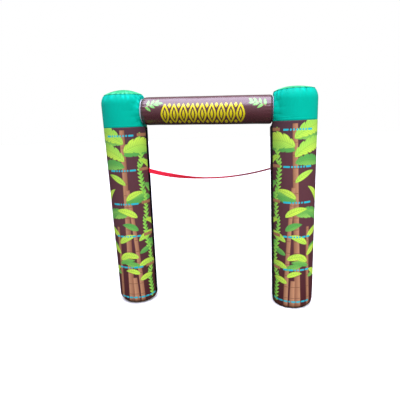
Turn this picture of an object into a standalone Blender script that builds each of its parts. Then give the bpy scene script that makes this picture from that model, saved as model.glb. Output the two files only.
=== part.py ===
"""Inflatable limbo game: two inflated posts, a crossbar between their caps, and a strap to pass under.

Metres, +Z up. The origin is on the ground midway between the posts, X runs along the crossbar, -Y is the front.
Each inflated member is one filled solid of its blown-up shape, split where one cloth is sewn to the next.
"""

import math

import bmesh
import bpy
from mathutils import Matrix, Vector

# Posts: a straight taper from the foot's rounded corner to the shoulder under the crown.
HALF_SPAN = 0.735  # from the middle to each post's axis
WALL_RADIUS = 0.178  # where the wall's line meets the ground
WALL_TAPER = 0.0092  # how much wider the wall gets for each metre of height
FOOT_CORNER = 0.045
CAP_SEAM = 1.64  # height of the seam between the printed tube and the plain cap
CROWN_RADIUS = 0.168
SHOULDER = 0.085  # height over which the cap's wall draws in to the crown
SHOULDER_POWER = 2.2
CROWN_RIM = 0.002

# Each side: its sign along X, the height of its crown's seam, and how far the crown domes above that.
SIDES = {
    "left": {"sign": -1, "crown_seam": 1.917, "dome": 0.045},
    "right": {"sign": 1, "crown_seam": 1.892, "dome": 0.025},
}

# Crossbar: sewn on a little out of level, its ends drawn in to a seam ring on a flattened patch of each cap.
BAR_HEIGHT = 1.755  # of its axis, midway between the posts
BAR_TILT = 0.0298  # radians, down towards +X
BAR_RADIUS = 0.12
BAR_END_RADIUS = 0.102
BAR_END_OFFSET = 0.170  # from the post's axis to the bar's end
BAR_SHOULDER = 0.045
BAR_LAND = 0.009  # straight stretch that carries the seam ring
RING_WIDTH = 0.007
RING_THICKNESS = 0.003
PATCH_RADIUS = 0.124  # the post's wall is flat within this of the bar's axis
PATCH_REACH = 0.168  # and undisturbed beyond this

# Loop strips down the posts' inner sides, and the strap between them.
STRIP_WIDTH = 0.05
STRIP_THICKNESS = 0.002
STRIP_FOOT = 0.06
STRIP_BELOW_BAR = 0.138  # from the bar's axis, the least distance down to the strip's top end
STRAP_WIDTH = 0.038
STRAP_THICKNESS = 0.0018
STRAP_LEFT = 1.249  # height of the strap where it leaves each strip
STRAP_RIGHT = 1.237
STRAP_SAG = 0.073
STRAP_TAB = 0.034
STRAP_RIGHT_TAB = 0.028
STRAP_BEND = 0.006  # radius of the fold between each tab and the free span
STRAP_FOLD_Y = -0.017  # the left fold stands this far forward of the post's inner line
STRAP_RIGHT_Y = -0.006  # and the right one this far
STRAP_RIGHT_CLEAR = 0.0002  # added on the right, where the strap's flat faces cut across the post's curve
TWIST = (0.04, 0.48)  # shares of the span between which the strap turns from upright to leaning well forward
LEAN = 1.06  # radians that it leans over most of its run

GAP = 0.0003  # between pieces that touch
STRIP_GAP = 0.0005  # between a strip and the many-sided wall under it
SEGMENTS = 48
WALL_ROWS = 6  # rows over the pressed-in stretch below the cap's seam
CAP_ROWS = 11
CURVE_ROWS = 6
STRAP_COLUMNS = 2
LEFT_ROWS = 14
LEFT_RUN = 0.020  # of strap past the left fold's line before the hanging curve begins
SPAN_ROWS = 32
FOLD_ROWS = 6
RIGHT_TAB_ROWS = 4

# Colours as sRGB hex, with roughness.
COLOURS = {
    "tube": ("5e3a42", 0.45),
    "cap": ("04bfa8", 0.40),
    "crown": ("3ce696", 0.40),
    "loop_strip": ("17141a", 0.90),
    "bar_seam": ("c9bfdc", 0.55),
    "crossbar": ("5c3040", 0.40),
    "strap": ("ee1f45", 0.55),
}


def smooth_step(low, high, value):
    share = min(max((value - low) / (high - low), 0.0), 1.0)
    return share * share * (3 - 2 * share)


def linear_colour(code):
    """An sRGB hex code as linear red, green, blue and alpha."""
    parts = [int(code[i : i + 2], 16) / 255 for i in (0, 2, 4)]
    return [p / 12.92 if p <= 0.04045 else ((p + 0.055) / 1.055) ** 2.4 for p in parts] + [1.0]


def make_material(name, kind):
    code, roughness = COLOURS[kind]
    material = bpy.data.materials.new(name)
    material.use_nodes = True
    shader = material.node_tree.nodes["Principled BSDF"]
    shader.inputs["Base Color"].default_value = linear_colour(code)
    shader.inputs["Roughness"].default_value = roughness
    shader.inputs["Metallic"].default_value = 0.0
    return material


def add_object(name, kind, bm, collection):
    """Turns a bmesh into a named, smooth-shaded object with its own material."""
    mesh = bpy.data.meshes.new(name)
    bm.to_mesh(mesh)
    bm.free()
    mesh.shade_smooth()
    mesh.set_sharp_from_angle(angle=math.radians(35))
    mesh.materials.append(make_material(name, kind))
    obj = bpy.data.objects.new(name, mesh)
    collection.objects.link(obj)
    return obj


def spun(profile, closed=False):
    """A bmesh of the profile, radius and height pairs, turned once round Z."""
    bm = bmesh.new()
    verts = [bm.verts.new((radius, 0.0, height)) for radius, height in profile]
    pairs = list(zip(verts, verts[1:]))
    if closed:
        pairs.append((verts[-1], verts[0]))
    edges = [bm.edges.new(pair) for pair in pairs]
    bmesh.ops.spin(
        bm, geom=verts + edges, axis=(0, 0, 1), cent=(0, 0, 0), angle=math.tau, steps=SEGMENTS
    )
    bmesh.ops.remove_doubles(bm, verts=bm.verts, dist=0.00001)
    bmesh.ops.recalc_face_normals(bm, faces=bm.faces)
    return bm


def mapped_grid(columns, rows, place):
    """A bmesh grid whose vertex at shares (u, v) lies at place(u, v)."""
    bm = bmesh.new()
    bmesh.ops.create_grid(bm, x_segments=columns, y_segments=rows, size=0.5)
    for vert in bm.verts:
        vert.co = place(vert.co.x + 0.5, vert.co.y + 0.5)
    return bm


def add_solidify(obj, thickness, offset):
    solidify = obj.modifiers.new("thickness", "SOLIDIFY")
    solidify.thickness = thickness
    solidify.offset = offset
    solidify.use_even_offset = True


def wall_radius(height):
    return WALL_RADIUS + WALL_TAPER * height


def bar_axis_height(side):
    """The height of the bar's axis at its end on this side."""
    return BAR_HEIGHT - SIDES[side]["sign"] * (HALF_SPAN - BAR_END_OFFSET) * math.tan(BAR_TILT)


def press_in(point, side):
    """The wall point, moved along X onto the plane of the bar's end, less so away from the bar's axis."""
    sign = SIDES[side]["sign"]
    if sign * point.x > HALF_SPAN:
        return point
    rise = point.z - BAR_HEIGHT
    across = point.x * math.sin(BAR_TILT) + rise * math.cos(BAR_TILT)
    from_axis = math.hypot(point.y, across)
    half_bar = (HALF_SPAN - BAR_END_OFFSET) / math.cos(BAR_TILT)
    plane_x = (sign * half_bar + rise * math.sin(BAR_TILT)) / math.cos(BAR_TILT)
    amount = 1 - smooth_step(PATCH_RADIUS, PATCH_REACH, from_axis)
    return Vector((point.x + amount * (plane_x - point.x), point.y, point.z))


def stand_on_post(bm, side):
    """Moves a turned bmesh to its post and presses in the patch where the bar's end is sewn."""
    for vert in bm.verts:
        vert.co.x += SIDES[side]["sign"] * HALF_SPAN
        vert.co = press_in(vert.co, side)
    return bm


def pressed_heights():
    """Row heights over the stretch of tube that the bar's end disturbs, bottom to top."""
    bottom = bar_axis_height("right") - PATCH_REACH
    return [bottom + (CAP_SEAM - bottom) * i / WALL_ROWS for i in range(WALL_ROWS + 1)]


def add_tube(side, collection):
    """The printed tube: flat underneath, a rounded corner, then the tapering wall up to the cap's seam."""
    corner_middle = wall_radius(FOOT_CORNER) - FOOT_CORNER
    turns = [math.pi / 2 * i / CURVE_ROWS for i in range(CURVE_ROWS + 1)]
    corner = [
        (corner_middle + FOOT_CORNER * math.sin(turn), FOOT_CORNER * (1 - math.cos(turn)))
        for turn in turns
    ]
    wall = [(wall_radius(height), height) for height in pressed_heights()]
    profile = [(0.0, 0.0), *corner, *wall, (0.0, CAP_SEAM)]
    return add_object(f"{side}_tube", "tube", stand_on_post(spun(profile), side), collection)


def cap_radius(height, crown_seam):
    """The cap's radius: the wall's taper, drawn in over the shoulder to the crown's seam."""
    start = crown_seam - SHOULDER
    draw = wall_radius(crown_seam) - CROWN_RADIUS
    share = max((height - start) / SHOULDER, 0.0)
    return wall_radius(height) - draw * share**SHOULDER_POWER


def add_cap(side, collection):
    """The plain cap above the printed tube, up to the crown's seam, with a flat patch for the bar's end."""
    top = SIDES[side]["crown_seam"]
    bottom = CAP_SEAM + GAP
    heights = [bottom + (top - bottom) * i / CAP_ROWS for i in range(CAP_ROWS + 1)]
    wall = [(cap_radius(height, top), height) for height in heights]
    profile = [(0.0, bottom), *wall, (0.0, top)]
    return add_object(f"{side}_cap", "cap", stand_on_post(spun(profile), side), collection)


def add_crown(side, collection):
    """The domed disc that closes the cap: a low paraboloid over a short rim."""
    bottom = SIDES[side]["crown_seam"] + GAP
    rim = bottom + CROWN_RIM
    dome = SIDES[side]["dome"] - CROWN_RIM - GAP
    shares = [1 - i / CURVE_ROWS for i in range(CURVE_ROWS + 1)]
    arch = [(CROWN_RADIUS * share, rim + dome * (1 - share**2)) for share in shares]
    bm = spun([(0.0, bottom), (CROWN_RADIUS, bottom), *arch])
    bmesh.ops.translate(bm, verts=bm.verts, vec=(SIDES[side]["sign"] * HALF_SPAN, 0, 0))
    return add_object(f"{side}_crown", "crown", bm, collection)


def bar_frame():
    """Turns a piece spun round Z so that it lies along the bar's axis, its middle at the bar's middle."""
    return Matrix.Translation((0, 0, BAR_HEIGHT)) @ Matrix.Rotation(math.pi / 2 + BAR_TILT, 4, "Y")


def bar_half_length():
    return (HALF_SPAN - BAR_END_OFFSET) / math.cos(BAR_TILT) - GAP


def add_crossbar(collection):
    """The bar: a tube whose ends draw in along a quarter ellipse to the land that the seam ring wraps."""
    half = bar_half_length()
    start = half - BAR_LAND
    shares = [i / CURVE_ROWS for i in range(CURVE_ROWS + 1)]
    shoulder = [
        (
            BAR_END_RADIUS + (BAR_RADIUS - BAR_END_RADIUS) * math.sqrt(1 - (1 - share) ** 2),
            start - BAR_SHOULDER * share,
        )
        for share in shares
    ]
    upper = [(0.0, half), (BAR_END_RADIUS, half), *shoulder]
    lower = [(radius, -along) for radius, along in reversed(upper)]
    bm = spun(upper + lower)
    bmesh.ops.transform(bm, matrix=bar_frame(), verts=bm.verts)
    return add_object("crossbar", "crossbar", bm, collection)


def add_bar_seam(side, collection):
    """The pale welt that wraps the bar's end against the cap."""
    outer_end = bar_half_length()
    inner_end = outer_end - RING_WIDTH
    inside = BAR_END_RADIUS + GAP
    outside = inside + RING_THICKNESS
    sign = SIDES[side]["sign"]
    section = [(inside, outer_end), (outside, outer_end), (outside, inner_end), (inside, inner_end)]
    bm = spun([(radius, sign * along) for radius, along in section], closed=True)
    bmesh.ops.transform(bm, matrix=bar_frame(), verts=bm.verts)
    return add_object(f"{side}_bar_seam", "bar_seam", bm, collection)


def on_wall(side, around, height, proud):
    """A point off the many-sided inner wall: around is the distance sideways, proud the clearance from it."""
    sign = SIDES[side]["sign"]
    radius = wall_radius(height)
    angle = around / radius
    facet = math.tau / SEGMENTS
    before = math.floor(angle / facet) * facet
    corners = [
        press_in(Vector((sign * (HALF_SPAN - radius * math.cos(a)), radius * math.sin(a), height)), side)
        for a in (before, before + facet)
    ]
    point = corners[0].lerp(corners[1], (angle - before) / facet)
    return point + proud * Vector((-sign * math.cos(angle), math.sin(angle), 0))


def add_loop_strip(side, collection):
    """The strip of loop tape down the post's inner side, following the wall and the dip under the bar."""
    highest = bar_axis_height(side) - STRIP_BELOW_BAR
    heights = [STRIP_FOOT, *(height for height in pressed_heights() if height < highest)]
    last = len(heights) - 1

    def place(u, v):
        return on_wall(side, (u - 0.5) * STRIP_WIDTH, heights[round(v * last)], STRIP_GAP)

    obj = add_object(f"{side}_loop_strip", "loop_strip", mapped_grid(4, last, place), collection)
    add_solidify(obj, STRIP_THICKNESS, -1.0 if SIDES[side]["sign"] > 0 else 1.0)
    return obj


def strap_radius(height):
    """From a post's axis to the middle of a strap that lies on the strip."""
    return wall_radius(height) + STRIP_GAP + STRIP_THICKNESS + GAP + STRAP_THICKNESS / 2


def strap_right_end():
    """Where the free span ends along X, and the angle below level at which it leaves both ends."""
    left = -HALF_SPAN + strap_radius(STRAP_LEFT) + STRAP_BEND
    dip = math.atan(2 * STRAP_SAG / -left)
    radius = strap_radius(STRAP_RIGHT) + STRAP_RIGHT_CLEAR
    right = HALF_SPAN - radius - STRAP_BEND * (1 - math.sin(dip))
    return right, dip


def across_strap():
    """Distances from the strap's middle line of the points across it, lower edge first."""
    return [STRAP_WIDTH * (i / STRAP_COLUMNS - 0.5) for i in range(STRAP_COLUMNS + 1)]


def round_left_fold(past, height):
    """A point of the upright strap: past is the level distance beyond the line where it leaves the strip."""
    radius = strap_radius(height)
    start = STRAP_FOLD_Y / strap_radius(STRAP_LEFT)
    quarter = STRAP_BEND * math.pi / 2
    if past < 0:
        angle = start - past / radius
        return Vector((-HALF_SPAN + radius * math.cos(angle), radius * math.sin(angle), height))
    turn = min(past, quarter) / STRAP_BEND
    lifted = STRAP_BEND * (1 - math.cos(turn)) + max(past - quarter, 0)
    forward = -STRAP_BEND * math.sin(turn)
    x = -HALF_SPAN + radius * math.cos(start) + lifted
    return Vector((x, radius * math.sin(start) + forward, height))


def left_rows():
    """The left tab on its strip and the fold off it: an upright band, sloping down at the span's own angle."""
    dip = strap_right_end()[1]
    rows = []
    for i in range(LEFT_ROWS + 1):
        along = -STRAP_TAB + (STRAP_TAB + LEFT_RUN) * i / LEFT_ROWS
        past, height = along * math.cos(dip), STRAP_LEFT - along * math.sin(dip)
        rows.append(
            [
                round_left_fold(past + out * math.sin(dip), height + out * math.cos(dip))
                for out in across_strap()
            ]
        )
    return rows


def strap_turn(share):
    """How far the strap has turned from upright at this share of its free span."""
    return LEAN * smooth_step(*TWIST, share)


def span_rows(first):
    """The free span: a parabola whose upper edge turns forward."""
    right, dip = strap_right_end()
    last = Vector((right, STRAP_RIGHT_Y, STRAP_RIGHT))
    rows = []
    for i in range(1, SPAN_ROWS + 1):
        share = i / SPAN_ROWS
        middle = first.lerp(last, share)
        middle.y = first.y * (1 - share) ** 2 + last.y * share**2
        middle.z -= 4 * STRAP_SAG * share * (1 - share)
        slope = math.atan(math.tan(dip) * (2 * share - 1))
        turn = strap_turn(share)
        upright = Vector((-math.sin(slope), 0, math.cos(slope)))
        width = math.cos(turn) * upright + math.sin(turn) * Vector((0, -1, 0))
        rows.append([middle + out * width for out in across_strap()])
    return rows


def right_rows(start):
    """The fold up at the right end, and its tab on the strip, stuck on aslant and cupped round the post."""
    dip = strap_right_end()[1]
    slant = math.pi / 2 - LEAN
    across_first = Vector((-math.sin(dip) * math.cos(LEAN), -math.sin(LEAN), math.cos(dip) * math.cos(LEAN)))
    across_last = Vector((0, -math.sin(LEAN), math.cos(LEAN)))
    rows = []
    for i in range(1, FOLD_ROWS + RIGHT_TAB_ROWS + 1):
        cupped = min(i / FOLD_ROWS, 1)
        turn = dip + (math.pi / 2 - dip) * cupped
        climb = STRAP_RIGHT_TAB * max(i - FOLD_ROWS, 0) / RIGHT_TAB_ROWS
        x = STRAP_BEND * (math.sin(turn) - math.sin(dip)) - WALL_TAPER * climb
        rise = STRAP_BEND * (math.cos(dip) - math.cos(turn)) + climb
        middle = start + Vector((x, rise * math.sin(slant * cupped), rise * math.cos(slant * cupped)))
        across = across_first.lerp(across_last, cupped).normalized()
        points = [middle + out * across for out in across_strap()]
        for point in points:
            point.x += cupped * point.y**2 / (2 * strap_radius(STRAP_RIGHT))
        rows.append(points)
    return rows


def add_strap(collection):
    """The red webbing, one band from the left strip to the right."""
    rows = left_rows()
    rows += span_rows(rows[-1][STRAP_COLUMNS // 2])
    rows += right_rows(rows[-1][STRAP_COLUMNS // 2])
    last = len(rows) - 1

    def place(u, v):
        return rows[round(v * last)][round(u * STRAP_COLUMNS)]

    obj = add_object("strap", "strap", mapped_grid(STRAP_COLUMNS, last, place), collection)
    add_solidify(obj, STRAP_THICKNESS, 0.0)
    return obj


def main():
    for obj in list(bpy.data.objects):
        bpy.data.objects.remove(obj, do_unlink=True)
    collection = bpy.data.collections.new("inflatable_limbo_game")
    bpy.context.scene.collection.children.link(collection)
    for side in SIDES:
        add_tube(side, collection)
        add_cap(side, collection)
        add_crown(side, collection)
        add_loop_strip(side, collection)
        add_bar_seam(side, collection)
    add_crossbar(collection)
    add_strap(collection)


main()
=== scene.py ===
import math

import bpy
import numpy as np
from mathutils import Matrix, Vector


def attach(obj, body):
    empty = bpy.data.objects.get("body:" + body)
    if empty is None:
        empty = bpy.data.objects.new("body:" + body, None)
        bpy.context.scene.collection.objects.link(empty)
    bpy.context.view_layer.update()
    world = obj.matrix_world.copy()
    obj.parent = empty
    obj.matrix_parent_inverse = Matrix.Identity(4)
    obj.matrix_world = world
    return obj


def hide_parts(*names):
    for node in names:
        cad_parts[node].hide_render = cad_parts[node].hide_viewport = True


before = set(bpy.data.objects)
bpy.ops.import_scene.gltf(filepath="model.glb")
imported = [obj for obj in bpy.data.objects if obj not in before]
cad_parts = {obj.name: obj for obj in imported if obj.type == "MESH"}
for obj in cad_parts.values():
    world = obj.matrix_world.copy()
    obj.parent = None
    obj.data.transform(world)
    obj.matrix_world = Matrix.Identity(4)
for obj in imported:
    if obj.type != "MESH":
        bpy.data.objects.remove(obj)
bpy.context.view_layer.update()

# Inflatable limbo game: everything in metres, Z up, the front towards -Y, the ground at 0.
# Every member is sewn from satin-faced polyester taffeta and blown up tight.

post = {
    "span": 0.735,          # middle to each post's axis
    "radius": 0.178,        # where the wall's line meets the ground
    "taper": 0.0092,        # wider by this for each metre up
    "printRadius": 0.1862,  # turns an angle into metres of flat cloth
    "capSeam": 1.64,
    "gap": 0.0003,          # between pieces that touch
    "crownRadius": 0.168,
    "shoulder": 0.085,      # height over which the cap draws in to its crown
    "shoulderPower": 2.2,
    "creaseDepth": 0.0016, "creaseWidth": 0.005,  # of the cap's lower seam
}
# sign: which way from the middle; dome: height of the crown over its seam; gather: how hard its cloth is
# drawn in; dip: how far the bar pulls that seam down; printTurn: metres that the print is turned round;
# edging: half the width of the black print under the loop strip; corner: round of the foot
sides = {
    "left": {"sign": -1, "crownSeam": 1.917, "dome": 0.045, "seed": 11, "gather": 1.0, "dip": 0.004,
             "printTurn": 0.0, "edging": 0.032, "corner": 0.055},
    "right": {"sign": 1, "crownSeam": 1.892, "dome": 0.025, "seed": 23, "gather": 1.7, "dip": 0.017,
              "printTurn": 0.022, "edging": 0.076, "corner": 0.028},
}
bar = {
    "height": 1.755,
    "tilt": 0.0298,         # radians down towards +X
    "radius": 0.12,
    "endRadius": 0.102,
    "endOffset": 0.170,     # post's axis to the bar's end
    "shoulder": {"left": 0.050, "right": 0.022},  # length over which the bar swells to its full size
    "land": {"left": 0.009, "right": 0.0065},     # straight stretch under the welt
    "patch": (0.123, 0.150),  # the cap is flat within the first, untouched past the second
    "pulls": 18,              # folds that ray out round the seam on each cap
    "pullBand": (0.104, 0.128, 0.14, 0.215),  # from the bar's axis: they rise, stay and fade between these
}


def smoothStep(low, high, value):
    # 0 below low, 1 above high and an S curve between
    share = np.clip((value - low) / (high - low), 0.0, 1.0)
    return share * share * (3 - 2 * share)


def between(value, start, full, fading, gone):
    # 0 up to start, 1 from full to fading and 0 again past gone, with S curves between
    return smoothStep(start, full, value) * (1 - smoothStep(fading, gone, value))


def bell(distance, width):
    # 1 at no distance, falling off as a bell curve of that width
    return np.exp(-(distance / width) ** 2)


def bulges(turn, count, seed, drift=0.45):
    # soft swellings with sharp creases between: the size of a sine whose angle drifts on four slow waves,
    # times a slow wave of its own so that some stand higher
    chance = np.random.default_rng(seed)
    half = turn * count / 2
    for wave in (1, 2, 3, 5):
        half = half + drift * count / (8 * wave) * np.sin(wave * turn + chance.uniform(0, 2 * np.pi))
    high = 0.78 + 0.22 * np.sin(3 * turn + chance.uniform(0, 2 * np.pi)) * np.cos(2 * turn + seed)
    return np.abs(np.sin(half)) ** 0.75 * high


def billow(turn, height, seed):
    # slack in the cloth: five crossed slow waves, each from -1 to 1, averaged
    chance = np.random.default_rng(seed)
    total = 0.0
    for around, up in ((2, 3.1), (3, -4.7), (1, 7.3), (4, 5.9), (5, -9.1)):
        total = total + np.sin(around * turn + up * height + chance.uniform(0, 2 * np.pi))
    return total / 5


def skin(name, points, poles=None, ring=False, uv=None, fields=None):
    # a mesh from a lattice of rows and columns. With poles, or as a ring, the last column is the first again.
    # With poles each end row closes on its pole, and in a ring the last row is the first again.
    # Values on the lattice go to the corners of the faces.
    rows, columns = points.shape[0] - 1, points.shape[1] - 1
    down = rows if ring else rows + 1
    wrap = columns if ring or poles is not None else columns + 1
    r, c = np.meshgrid(np.arange(rows), np.arange(columns), indexing="ij")
    rowOf = np.stack([r, r, r + 1, r + 1], -1).reshape(-1, 4)
    colOf = np.stack([c, c + 1, c + 1, c], -1).reshape(-1, 4)
    vertexOf = rowOf % down * wrap + colOf % wrap
    latticeOf = rowOf * (columns + 1) + colOf
    places = points[:down, :wrap].reshape(-1, 3)
    starts = np.arange(len(vertexOf)) * 4
    vertexOf, latticeOf = vertexOf.ravel(), latticeOf.ravel()
    if poles is not None:
        c = np.arange(columns)
        pole, last = len(places), rows * wrap
        fans = (
            (0, [0 * c + pole, (c + 1) % wrap, c]),
            (rows, [last + c, last + (c + 1) % wrap, 0 * c + pole + 1]),
        )
        for row, corners in fans:
            starts = np.concatenate([starts, len(vertexOf) + 3 * c])
            vertexOf = np.concatenate([vertexOf, np.stack(corners, -1).ravel()])
            lattice = row * (columns + 1) + np.stack([c, c + 1, c], -1)
            latticeOf = np.concatenate([latticeOf, lattice.ravel()])
        places = np.concatenate([places, np.array(poles, float)])
    mesh = bpy.data.meshes.new(name)
    mesh.vertices.add(len(places))
    mesh.vertices.foreach_set("co", places.astype(np.float32).ravel())
    mesh.loops.add(len(vertexOf))
    mesh.loops.foreach_set("vertex_index", vertexOf.astype(np.int32))
    mesh.polygons.add(len(starts))
    mesh.polygons.foreach_set("loop_start", starts.astype(np.int32))
    mesh.update(calc_edges=True)
    if uv is not None:
        layer = mesh.uv_layers.new(name="clothMap")
        layer.data.foreach_set("uv", uv.reshape(-1, 2)[latticeOf].astype(np.float32).ravel())
    for field, values in (fields or {}).items():
        layer = mesh.attributes.new(field, "FLOAT_COLOR", "CORNER")
        layer.data.foreach_set("color", values.reshape(-1, 4)[latticeOf].astype(np.float32).ravel())
    mesh.shade_smooth()
    piece = bpy.data.objects.new(name, mesh)
    bpy.context.scene.collection.objects.link(piece)
    return piece


def axisX(side):
    # the post's upright axis
    return sides[side]["sign"] * post["span"]


def wallRadius(height):
    # a straight taper: the radius at the ground and a little more for each metre up
    return post["radius"] + post["taper"] * height


def barAxisHeight(side):
    # the bar's middle height, less its fall or rise over half its length
    return bar["height"] - sides[side]["sign"] * (post["span"] - bar["endOffset"]) * math.tan(bar["tilt"])


def nearBar(points, side):
    # distance from the bar's slanting axis, turn round it, and whether a point is on the post's inner side
    across = points[..., 0] * math.sin(bar["tilt"]) + (points[..., 2] - bar["height"]) * math.cos(bar["tilt"])
    inner = sides[side]["sign"] * points[..., 0] < post["span"]
    return np.hypot(points[..., 1], across), np.arctan2(across, points[..., 1]), inner


def pressIn(points, side, gather):
    # within the bar's reach the wall moves along X onto the slanting plane of the bar's end,
    # and small pulls ray out round the seam, dying away over a few centimetres
    sign = sides[side]["sign"]
    fromAxis, turn, inner = nearBar(points, side)
    rise = points[..., 2] - bar["height"]
    halfBar = (post["span"] - bar["endOffset"]) / math.cos(bar["tilt"])
    planeX = (sign * halfBar + rise * math.sin(bar["tilt"])) / math.cos(bar["tilt"])
    amount = np.where(inner, 1 - smoothStep(*bar["patch"], fromAxis), 0.0)
    pulls = (bulges(turn, bar["pulls"], sides[side]["seed"] + 5) - 0.6) * gather
    window = between(fromAxis, *bar["pullBand"]) * inner
    moved = points.copy()
    moved[..., 0] += amount * (planeX - points[..., 0]) - sign * pulls * window
    return moved


def flatEnd(points, edge, rows, shares, pole):
    # an end disc: each row is the pressed edge row drawn in to that row's share of the way out from the pole
    pole = np.array(pole)
    points[rows] = pole + shares[:, None, None] * (points[edge] - pole)


def postLattice(side, rho, turn, height):
    # a lathe round the post's axis: out by the radius at each turn, measured from the front towards +X
    return np.stack([axisX(side) + rho * np.sin(turn), -rho * np.cos(turn), height], -1)


def awayFromStrip(side, turn):
    # 0 over the loop strip's line on the post's inner side, 1 well away from it
    innerTurn = -sides[side]["sign"] * np.pi / 2
    return smoothStep(0.2, 0.5, np.abs(turn - innerTurn))


def sideBell(side, turn, wide, outer=False):
    # 1 on the post's inner (or outer) line, falling off round it as a bell curve of that width in radians
    line = (1 if outer else -1) * sides[side]["sign"] * np.pi / 2
    return bell(2 * np.sin((turn - line) / 2), wide)


def seamDip(side, turn):
    # the bar's pull draws the crown's seam down on the inner side
    return sides[side]["dip"] * sideBell(side, turn, 0.75)


def gatherStrength(side, turn):
    # how hard the cloth is gathered to the crown: two slow waves from about 0.3 to 1, harder beside the bar
    seed = sides[side]["seed"]
    uneven = 0.64 + 0.22 * np.sin(4 * turn + 3 * seed) + 0.14 * np.sin(9 * turn + seed)
    return uneven * (1 + 0.9 * sideBell(side, turn, 0.8))


# Each printed motif gives (inside, along, across, tint) for places in metres on the flat cloth: the distance
# in from its outline, the place along and across its spine, and its share of the lighter ink.

def arcPlace(s, v, root, heading, length, turning):
    # a motif's spine is an arc from its root: along is the distance swept round the arc's centre,
    # across the distance to the left of the spine
    bend = turning if abs(turning) > 0.02 else 0.02
    radius = length / abs(bend)
    left = np.array([-math.sin(heading), math.cos(heading)]) * (1 if bend > 0 else -1)
    ds, dv = s - (root[0] + radius * left[0]), v - (root[1] + radius * left[1])
    start = math.atan2(-left[1], -left[0])
    swept = (np.arctan2(dv, ds) - start) * (1 if bend > 0 else -1)
    swept = (swept + np.pi / 2) % (2 * np.pi) - np.pi / 2
    return radius * swept, (radius - np.hypot(ds, dv)) * (1 if bend > 0 else -1)


def bladeMotif(s, v, root, heading, length, width, turning=0.3, tint=0.5, split=0.0, point=0.95):
    # a leaf: half its width is the share of its length to the power 0.7 times the share left to the power
    # point, scaled to 1 at its widest; split cuts slanting notches between its side veins
    along, across = arcPlace(s, v, root, heading, length, turning)
    t = np.clip(along / length, 0.0, 1.0)
    widest = 0.7 / (0.7 + point)
    half = width / 2 * (t**0.7 * (1 - t) ** point) / (widest**0.7 * (1 - widest) ** point)
    if split:
        saw = np.abs(2 * ((along - 0.7 * np.abs(across) + 0.013 * (across > 0)) / 0.047 % 1) - 1)
        half = half * (1 - split * saw**7)
    inside = np.minimum(half - np.abs(across), np.minimum(along, length - along) + 0.002)
    return inside, along, across, np.full_like(along, tint)


def caneMotif(s, v, root, heading, length, width, turning=0.05, tint=0.5, ringPitch=0.105):
    # a cane: a band that narrows by a quarter to its top, 4 mm wider at each joint ring
    along, across = arcPlace(s, v, root, heading, length, turning)
    swell = np.maximum(1 - np.abs((along / ringPitch + 0.5) % 1 - 0.5) * ringPitch / 0.006, 0)
    half = width / 2 * (1 - 0.25 * np.clip(along / length, 0, 1)) + 0.002 * swell
    inside = np.minimum(half - np.abs(across), np.minimum(along, length - along))
    return inside, along, across, np.full_like(along, tint)


def frondMotif(s, v, root, heading, length, width, turning=0.1, tint=0.5, pitch=0.036):
    # a fern frond: a thin rib, and slanting leaflets on both sides whose reach is the share of its length to
    # the power 0.3 times the share left to the power 0.55, each thinning out towards its tip
    along, across = arcPlace(s, v, root, heading, length, turning)
    t = np.clip(along / length, 0.0, 1.0)
    reach = width / 2 * (t**0.3 * (1 - t) ** 0.55) * 1.35 + 0.001
    share = np.abs(across) / reach
    cell = np.abs((along - 0.75 * np.abs(across) + 0.4 * pitch * (across > 0)) / pitch % 1 - 0.5) * pitch
    leaflet = np.minimum(pitch * 0.44 * (1 - share**1.5) - cell, reach - np.abs(across))
    inside = np.maximum(leaflet, 0.006 - np.abs(across))
    inside = np.minimum(inside, np.minimum(along, length - along))
    return inside, along, across, np.full_like(along, tint)


def boxMotif(s, v, middle, width, height, tint=0.5):
    # a plain bar: distance to the nearest edge
    ds, dv = s - middle[0], v - middle[1]
    inside = np.minimum(width / 2 - np.abs(ds), height / 2 - np.abs(dv))
    return inside, ds, dv, np.full_like(ds, tint)


def stack(motifs):
    # painter's order: a later motif covers an earlier one, and off them all the nearest one's values run on
    top = np.array(motifs[0])
    for motif in motifs[1:]:
        top = np.where((motif[0] > 0) | (motif[0] > top[0]), motif, top)
    return np.stack(top, -1)


def climber(foot, lean, heights, length, width, spread, droop, tint, seed, split=0.0, point=0.95):
    # leaves in turn left and right up a leaning stem, each spread from upright and drooping outwards
    chance = np.random.default_rng(seed)
    leaves = []
    for step, height in enumerate(heights):
        side = 1 if step % 2 else -1
        lying = math.radians(spread + chance.uniform(-10, 10))
        leaves.append({
            "root": (foot + lean * height, height), "heading": math.pi / 2 - side * lying,
            "length": length * chance.uniform(0.88, 1.1), "width": width * chance.uniform(0.9, 1.1),
            "turning": -side * droop * chance.uniform(0.8, 1.2), "split": split, "point": point,
            "tint": float(np.clip(tint + chance.uniform(-0.25, 0.25), 0, 1)),
        })
    return leaves


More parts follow.
